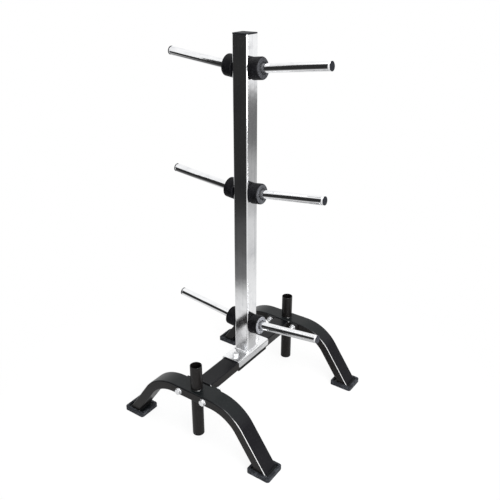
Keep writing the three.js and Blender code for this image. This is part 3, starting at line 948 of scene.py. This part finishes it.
def peg_form():
    """A round tube along Z with a tapered lead, cut to lie against the upright's face."""
    bore = PEG_RADIUS - TUBE_WALL
    lead = PEG_LENGTH - PEG_LEAD_LENGTH
    profile = [(bore, -PEG_RADIUS), (PEG_RADIUS, -PEG_RADIUS)]
    profile += [(PEG_RADIUS, lead * i / ARC) for i in range(1, ARC)]
    profile += arc((PEG_RADIUS - PEG_LEAD_LENGTH, lead), PEG_LEAD_LENGTH, 0, PEG_LEAD_ANGLE)
    profile += [(PEG_RADIUS - PEG_LEAD_DEPTH - BURR, PEG_LENGTH), (bore, PEG_LENGTH), profile[0]]
    peg = turned("peg_form", profile)
    begin_edit(peg)
    choose_all()
    bpy.ops.mesh.bisect(
        plane_co=(0, 0, GAP),
        plane_no=(math.sin(PEG_TILT), 0, math.cos(PEG_TILT)),
        clear_inner=True,
        use_fill=True,
    )
    face_outwards()
    end_edit()
    return peg


def bumper_form():
    """A thick ring with rounded ends and a recess round the peg."""
    bore = PEG_RADIUS + GAP
    outer, recess = BUMPER_RADIUS, BUMPER_RECESS_RADIUS
    heel, edge, lip, mouth = BUMPER_HEEL, BUMPER_EDGE, BUMPER_LIP, BUMPER_MOUTH
    top = BUMPER_LENGTH
    floor = top - BUMPER_RECESS_DEPTH
    profile = [(bore, 0)]
    profile += arc((outer - heel, heel), heel, -90, 0, SMALL_ARC)
    profile += arc((outer - edge, top - edge), edge, 0, 90, BUMPER_ARC)
    profile += arc((recess + lip, top - lip), lip, 90, 180, FINE_ARC)
    profile += arc((recess - lip, floor + lip), lip, 0, -90, FINE_ARC)
    profile += arc((bore + mouth, floor - mouth), mouth, 90, 180, SMALL_ARC)
    return turned("bumper_form", profile + [profile[0]], BUMPER_ROUND)


def plug_form(name, radius, head, edge, depth):
    """A push-in plug: a crowned head over the tube's end, and a ribbed core in its bore."""
    grip = radius - TUBE_WALL - GAP
    core = grip - TUBE_WALL / 2
    pitch = depth / PLUG_RIBS
    rim = head - PLUG_CROWN
    crest, end = PLUG_RIB
    groove_start, groove_end = PLUG_GROOVE
    profile = [(0, -depth), (core - BURR, -depth), (core, BURR - depth)]
    for i in range(PLUG_RIBS, 0, -1):
        profile += [(grip, (crest - i) * pitch + BURR), (core, (end - i) * pitch)]
    profile += [(core, 0), (radius - BURR, 0), (radius, BURR)]
    profile += arc((radius - edge, rim - edge), edge, 0, PLUG_EDGE_ANGLE)
    profile += [(radius * groove_start, rim), (radius * groove_end, rim - BURR / 2)]
    for share in PLUG_DOME:
        profile += [(radius * share, head - PLUG_CROWN * (PLUG_DOME_DROP + share * share))]
    return turned(name, profile, SMALL_ROUND)


def make_pegs():
    peg = peg_form()
    bumper = bumper_form()
    plug = plug_form("plug_form", PEG_RADIUS, PLUG_HEAD, PLUG_EDGE, PLUG_DEPTH)
    # A bumper stands square to its peg, so only its upper edge touches the upright
    lift = (GAP + BUMPER_RADIUS * math.sin(PEG_TILT)) / math.cos(PEG_TILT)
    for tier in PEG_HEIGHTS:
        for side in SIDES:
            name = f"{tier}_{side}"
            place = peg_matrix(tier, side)
            tube = copied(peg, f"{name}_peg_tube", place)
            finished(smooth(tube), plated_peg[side], f"{name}_peg")
            ring = copied(bumper, f"{name}_bumper_ring", place @ Matrix.Translation(Z * lift))
            finished(smooth(ring), bumper_rubber, f"{name}_bumper")
            at_end = place @ Matrix.Translation(Z * (PEG_LENGTH + GAP))
            end = copied(plug, f"{name}_end_plug", at_end)
            finished(smooth(end), black_plastic, f"{name}_peg_plug")
    for form in (peg, bumper, plug):
        bpy.data.objects.remove(form)


# Base

def make_leg(end):
    """A rounded rectangular tube bent down to both feet and cut level on its foot plates."""
    low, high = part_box(f"{end}_leg")
    y = (low.y + high.y) / 2
    half = LEG_WIDTH / 2
    top = high.z
    centre_height = top - LEG_THICKNESS / 2
    bend_height = centre_height - LEG_BEND_RADIUS
    start = LEG_KNEE - LEG_BEND_RADIUS * math.tan(LEG_SLOPE / 2)
    plate_top = low.z + FOOT_PLATE.z
    leg = rounded_block(
        f"{end}_bowed_leg",
        (-start, y - half, top - LEG_THICKNESS),
        (start, y + half, top),
        X,
        LEG_CORNER,
    )
    open_ends(leg, X)
    begin_edit(leg)
    for side in SIDES.values():
        rim = side * start
        choose(leg, "EDGE", lambda edge: lies_at(edge, X, rim))
        bend(rim, y, bend_height, side, LEG_SLOPE, LEG_STEPS)
        extrude(Vector((side * math.cos(LEG_SLOPE), 0, -math.sin(LEG_SLOPE))) * top)
    choose_all()
    bpy.ops.mesh.bisect(plane_co=(0, 0, plate_top), plane_no=(0, 0, 1), clear_inner=True)
    face_outwards()
    end_edit()
    walled(leg)
    hole = rod("holder_hole", HOLDER_RADIUS + GAP, (0, y, 0), (0, y, 2 * top))
    centre, away = Vector((0, y, centre_height)), X * LEG_BOLT_SPACING / 2
    cut(leg, hole, *bolt_holes("leg_bolt_hole", Y, centre, away, -LEG_WIDTH, LEG_WIDTH))
    finished(smooth(leg, LEG_SMOOTH), coat, f"{end}_leg")
    seat = (centre_height - plate_top) / math.tan(LEG_SLOPE)
    for name, side in SIDES.items():
        x = side * (LEG_KNEE + seat)
        make_foot(f"{end}_{name}_foot", (x, y, plate_top), (x - side * FOOT_INSET, y, low.z))


def make_foot(name, weld_place, plate_place):
    """A steel plate under a leg's end, with the weld that joins them."""
    place = Vector(plate_place)
    corner = Vector((FOOT_PLATE.x / 2, FOOT_PLATE.y / 2, 0))
    high = place + corner + Z * FOOT_PLATE.z
    plate = rounded_block(f"{name}_plate", place - corner, high, Z, FOOT_PLATE_CORNER)
    finished(smooth(softened(plate)), coat)
    across = (LEG_THICKNESS / math.sin(LEG_SLOPE) + FOOT_BEAD, LEG_WIDTH - FOOT_BEAD / 2)
    wire = ring_wire(f"{name}_weld", weld_place, across, Z, LEG_CORNER)
    finished(bead(wire, FOOT_BEAD), coat)


def make_boot(end, name):
    """A rubber tray round a foot plate, grooved underneath."""
    node = f"{end}_{name}_boot"
    low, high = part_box(node)
    boot = rounded_block(f"{end}_{name}_rubber_boot", low, high, Z, BOOT_CORNER)
    begin_edit(boot)
    choose(boot, "EDGE", lambda edge: lies_at(edge, Z, high.z))
    round_edges(BOOT_EDGE, SMALL_ARC)
    choose(boot, "FACE", lambda face: looks_along(face, Z))
    bpy.ops.mesh.inset(thickness=BOOT_RIM - BOOT_EDGE, depth=0)
    extrude((0, 0, BOOT_FLOOR - high.z))
    end_edit()
    grooves = []
    for i in range(TREADS):
        x = (low.x + high.x) / 2 + (i - (TREADS - 1) / 2) * TREAD_PITCH
        groove_low = (x - TREAD_WIDTH / 2, low.y + BOOT_RIM, low.z - TREAD_DEPTH)
        groove_high = (x + TREAD_WIDTH / 2, high.y - BOOT_RIM, low.z + TREAD_DEPTH)
        grooves.append(block("groove", groove_low, groove_high))
    cut(boot, *grooves)
    finished(smooth(softened(boot)), boot_rubber, node)


def make_beam():
    low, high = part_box("base_beam")
    beam = rounded_block("beam", low, high, Y, LEG_CORNER)
    walled(open_ends(beam, Y))
    cut(beam, *saddle_holes("beam_hole"))
    finished(smooth(beam), beam_coat_painted_shade, "base_beam")
    plate_low, plate_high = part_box("backing_plate")
    plate = rounded_block("beam_backing_plate", plate_low, plate_high, Z, BACKING_CORNER)
    cut(plate, *saddle_holes("plate_hole"))
    finished(smooth(softened(plate)), coat, "backing_plate")
    across = (high.x - low.x, high.z - low.z)
    for end, side in ENDS.items():
        centre = (0, (high.y + BEAD) * side, (low.z + high.z) / 2)
        wire = ring_wire(f"{end}_beam_weld", centre, across, Y, LEG_CORNER)
        finished(bead(wire), coat)


def make_flange(end):
    node = f"{end}_end_flange"
    low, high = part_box(node)
    flange = rounded_block(f"{end}_bolted_flange", low, high, Y, FLANGE_CORNER)
    centre, away = Z * (low.z + high.z) / 2, X * LEG_BOLT_SPACING / 2
    reach = (low.y - OVERRUN, high.y + OVERRUN)
    cut(flange, *bolt_holes("flange_hole", Y, centre, away, *reach))
    finished(smooth(softened(flange)), coat, node)


def make_holder(end):
    """A tube for a bar, welded into the leg, with a plug as the bar's stop."""
    node = f"{end}_bar_holder"
    low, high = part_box(node)
    y = (low.y + high.y) / 2
    holder = rod(f"{end}_holder_tube", HOLDER_RADIUS, (0, y, low.z), (0, y, high.z), HOLDER_ROUND)
    softened(walled(open_ends(holder, Z)))
    finished(smooth(holder), coat, node)
    leg_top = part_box(f"{end}_leg")[1].z
    radius = HOLDER_RADIUS + HOLDER_BEAD / 4
    for name, height in (("upper", leg_top), ("lower", leg_top - LEG_THICKNESS)):
        wire = circle_wire(f"{end}_holder_{name}_weld", (0, y, height), radius)
        finished(bead(wire, HOLDER_BEAD), coat)
    form = plug_form(
        "holder_plug_form", HOLDER_RADIUS, HOLDER_PLUG_HEAD, HOLDER_PLUG_EDGE, HOLDER_PLUG_DEPTH
    )
    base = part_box(f"{end}_bar_holder_plug")[0].z
    turn = Matrix.Translation((0, y, base + HOLDER_PLUG_HEAD)) @ Matrix.Rotation(math.pi, 4, "X")
    plug = copied(form, f"{end}_holder_end_plug", turn)
    bpy.data.objects.remove(form)
    finished(smooth(plug), black_plastic, f"{end}_bar_holder_plug")


# Bolts

def hexagon(name, height, bevel_below):
    """A hexagon along Z whose corners are turned off."""
    flat = BOLT_HEAD_ACROSS / 2
    corner = flat / math.cos(math.pi / HEX_SIDES)
    prism = rod(name, corner, (0, 0, 0), (0, 0, height), HEX_SIDES)
    low = [(flat, 0), (corner, HEX_BEVEL)] if bevel_below else [(corner + BURR, 0)]
    high = [(corner, height - HEX_BEVEL), (flat, height)]
    envelope = turned(f"{name}_envelope", [(0, 0), *low, *high, (0, height)], HEX_ROUND)
    return cut(prism, envelope, operation="INTERSECT")


def thread(name, end):
    """A helical ridge round Z that starts near a bolt's end."""
    inner = BOLT_RADIUS - THREAD_DEPTH - BURR / 2
    half = THREAD_PITCH / 2 - THREAD_SPACE
    low = end + BOLT_POINT / 2
    ridge = drawn_line(
        name,
        [
            (inner, 0, low),
            (BOLT_RADIUS, 0, low + half * (1 - THREAD_CREST)),
            (BOLT_RADIUS, 0, low + half * (1 + THREAD_CREST)),
            (inner, 0, low + 2 * half),
            (inner, 0, low),
        ],
    )
    choose_all()
    bpy.ops.mesh.remove_doubles(threshold=MERGE)
    bpy.ops.mesh.edge_face_add()
    end_edit()
    apply_modifier(
        ridge,
        "SCREW",
        angle=2 * math.pi,
        screw_offset=THREAD_PITCH,
        iterations=THREAD_TURNS,
        steps=THREAD_ROUND,
        render_steps=THREAD_ROUND,
        use_smooth_shade=True,
    )
    begin_edit(ridge)
    choose_all()
    bpy.ops.mesh.fill_holes(sides=4)
    face_outwards()
    end_edit()
    return ridge


def bolt_form(name, shank):
    """A hexagon bolt along Z: the head's underside is at zero, and the shank hangs below it."""
    head = hexagon(name, BOLT_HEAD_HEIGHT, False)
    root = BOLT_RADIUS - THREAD_DEPTH
    plain = THREAD_TURNS * THREAD_PITCH + BOLT_POINT - shank
    inside_head = BOLT_HEAD_HEIGHT / 3
    body = turned(
        f"{name}_shank",
        [
            (0, -shank),
            (root - BURR, -shank),
            (root, BURR - shank),
            (root, plain - THREAD_DEPTH),
            (BOLT_RADIUS, plain),
            (BOLT_RADIUS, inside_head),
            (0, inside_head),
        ],
        SMALL_ROUND,
    )
    ridge = thread(f"{name}_thread", -shank)
    select_only(head)
    body.select_set(True)
    ridge.select_set(True)
    bpy.ops.object.join()
    return smooth(head)


def nut_form():
    nut = hexagon("nut_form", NUT_HEIGHT, True)
    bore = BOLT_RADIUS + GAP
    mouth = [(bore + BURR, -OVERRUN), (bore + BURR, 0), (bore, BURR)]
    mouth += [(bore, NUT_HEIGHT - BURR), (bore + BURR, NUT_HEIGHT), (bore + BURR, 2 * OVERRUN)]
    cutter = turned("nut_bore", [(0, -OVERRUN), *mouth, (0, 2 * OVERRUN)], SMALL_ROUND)
    return smooth(cut(nut, cutter))


def washer_form():
    bore = BOLT_RADIUS + GAP
    edge = WASHER_EDGE
    top = WASHER_THICKNESS
    profile = [(bore, 0)]
    profile += arc((WASHER_RADIUS - edge, edge), edge, -90, 0, FINE_ARC)
    profile += arc((WASHER_RADIUS - edge, top - edge), edge, 0, 90, FINE_ARC)
    profile += arc((bore + edge, top - edge), edge, 90, 180, FINE_ARC)
    return smooth(turned("washer_form", profile + [profile[0]], SMALL_ROUND))


def place_bolt(name, forms, place, grip):
    """Puts a bolt, its washers and its nut round a stack of the given thickness."""
    bolt, nut, washer = forms
    step = WASHER_THICKNESS + GAP
    made = {
        "bolt": (bolt, step + GAP),
        "head_washer": (washer, GAP),
        "nut_washer": (washer, -grip - step),
        "nut": (nut, -grip - step - GAP - NUT_HEIGHT),
    }
    for part, (form, height) in made.items():
        piece = copied(form, f"{name}_zinc_{part}", place @ Matrix.Translation(Z * height))
        finished(piece, bright_zinc, f"{name}_{part}")


def shank_of(node, axis):
    """The length of a bolt's shank below its head."""
    low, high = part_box(node)
    return (high - low).dot(axis) - BOLT_HEAD_HEIGHT


def make_bolts():
    nut, washer = nut_form(), washer_form()
    leg_grip = LEG_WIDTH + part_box("front_end_flange")[1].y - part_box("front_leg")[1].y
    saddle_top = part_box("saddle_plate")[1].z
    saddle_grip = saddle_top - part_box("backing_plate")[0].z
    leg_bolt = bolt_form("leg_bolt_form", shank_of("front_left_leg_bolt", Y))
    saddle_bolt = bolt_form("saddle_bolt_form", shank_of("front_saddle_bolt", Z))
    for end, end_side in ENDS.items():
        leg_low, leg_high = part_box(f"{end}_leg")
        face = (leg_low.y + leg_high.y + end_side * LEG_WIDTH) / 2
        for side, way in SIDES.items():
            name = f"{end}_{side}_leg"
            low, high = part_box(f"{name}_bolt")
            spot = Matrix.Translation((way * LEG_BOLT_SPACING / 2, face, (low.z + high.z) / 2))
            lay = Matrix.Rotation(-end_side * math.pi / 2, 4, "X")
            place_bolt(name, (leg_bolt, nut, washer), spot @ lay, leg_grip)
        spot = Matrix.Translation((0, end_side * SADDLE_BOLT_SPACING / 2, saddle_top))
        place_bolt(f"{end}_saddle", (saddle_bolt, nut, washer), spot, saddle_grip)
    for form in (nut, washer, leg_bolt, saddle_bolt):
        bpy.data.objects.remove(form)


# Studio

def make_camera():
    data = bpy.data.cameras.new("camera")
    data.lens = CAMERA_LENS
    data.sensor_width = CAMERA_SENSOR
    camera = bpy.data.objects.new("camera", data)
    camera.location = CAMERA_PLACE
    camera.rotation_euler = CAMERA_TURN
    bpy.context.scene.camera = linked(camera)


def make_lamp(name, place, target, width, power):
    data = bpy.data.lights.new(name, "AREA")
    data.shape = "RECTANGLE"
    data.size = data.size_y = width
    data.energy = power
    lamp = bpy.data.objects.new(name, data)
    lamp.location = place
    lamp.rotation_euler = (Vector(target) - Vector(place)).to_track_quat("-Z", "Y").to_euler()
    linked(lamp)


def towards(side, east, north):
    """How much a level direction points at a side of the studio, from zero to one."""
    way, start = side
    return (way[0] * east + way[1] * north).between(*start)


def make_world():
    """White for the camera. Metal sees white too, but for a dark room, a backdrop and a corner."""
    world = bpy.data.worlds.new("studio")
    bpy.context.scene.world = world
    graph = Graph(world)
    east, north, up = graph.axes(graph.node("ShaderNodeTexCoord", output="Generated"))
    room = towards(ROOM, east, north) * towards(ROOM_EDGE, east, north)
    room = ROOM_SHADE * room * towards(ROOM_WEST, east, north) * (1 - up.between(*ROOM_TOP))
    backdrop = BACKDROP_SHADE * towards(BACKDROP, east, north)
    backdrop = backdrop * up.between(*BACKDROP_FOOT) * (1 - up.between(*BACKDROP_TOP))
    corner = CORNER_SHADE * towards(GREY_CORNER, east, north) * (1 - up.between(*CORNER_TOP))
    camera, glossy, clear = graph.rays()
    lit = glossy * (1.0 - room - backdrop - corner)
    lit = lit + (1 - glossy) * (clear + (1 - clear) * AMBIENT)
    graph.end("Background", {"Color": WHITE, "Strength": camera + (1 - camera) * lit})


def floor_shade(east, north, distance):
    """How dark the floor is in a mirror: it fades into the dark room and into the backdrop, and has a
    painted shadow under the stand.
    """
    west = (1 - towards(ROOM_WEST, east, north)) * distance.between(*ROOM_WEST_START)
    to_room = towards(ROOM, east, north) * towards(ROOM_EDGE, east, north) * (1 - west)
    room = distance.stepped(ROOM_FLOOR_SHADE, ROOM_STEPS)
    to_backdrop = towards(BACKDROP_ON_FLOOR, east, north)
    backdrop = FLOOR_SHADE + to_backdrop * distance.stepped(0.0, BACKDROP_STEPS)
    backdrop = backdrop * (1 - distance.between(*FLOOR_END))
    # painted shadow under the stand
    under = UNDER_PAINTED_SHADOW * (1 - distance.between(*UNDER_EDGE))
    corner = CORNER_FLOOR_SHADE * towards(GREY_CORNER, east, north)
    corner = corner * distance.between(*CORNER_START)
    return to_room * room + (1 - to_room) * backdrop + under + corner


def make_floor():
    """A pale floor, white to the camera but for a faint shadow near the stand."""
    bpy.ops.mesh.primitive_plane_add(size=FLOOR_SIZE, location=(0, 0, 0))
    floor = just_added("floor")
    graph = material_graph("floor")
    east, north, _ = graph.axes(graph.place())
    distance = (east ** 2.0 + north ** 2.0) ** 0.5
    reach = distance.larger(FLOOR_CENTRE)
    shade = floor_shade(east / reach, north / reach, distance)
    camera, glossy, clear = graph.rays()
    seen = PLAIN_NEAR + (1 - PLAIN_NEAR) * distance.between(*PLAIN_START)
    plain = camera * seen + PLAIN_MIRRORED * glossy + clear
    share = (plain + glossy * shade).smaller(1.0)
    diffuse = graph.node("ShaderNodeBsdfDiffuse", inputs={"Color": FLOOR_WHITE})
    strength = 1 - glossy * shade
    glow = graph.node("ShaderNodeEmission", inputs={"Color": WHITE, "Strength": strength})
    floor.data.materials.append(mixed_surface(graph, share, diffuse, glow))


def make_panel():
    """A white panel beside the left pegs: metal mirrors it, and everything else looks through."""
    turn = (math.pi / 2, 0, PANEL_TURN)
    bpy.ops.mesh.primitive_plane_add(size=1, location=PANEL_PLACE, rotation=turn)
    panel = just_added("panel", PANEL_SIZE)
    graph = material_graph("panel")
    _, glossy, _ = graph.rays()
    clear = graph.node("ShaderNodeBsdfTransparent")
    white = graph.node("ShaderNodeEmission", inputs={"Color": WHITE, "Strength": 1.0})
    panel.data.materials.append(mixed_surface(graph, glossy, clear, white))


make_camera()
make_world()
make_floor()
make_lamp("overhead", *OVERHEAD_LAMP)
make_lamp("right_key", *RIGHT_LAMP)
make_panel()

make_upright()
make_cap()
make_saddle()
make_pegs()
for end_name in ENDS:
    make_leg(end_name)
    make_flange(end_name)
    make_holder(end_name)
    for side_name in SIDES:
        make_boot(end_name, side_name)
make_beam()
make_bolts()

bpy.context.scene.view_settings.view_transform = "Standard"
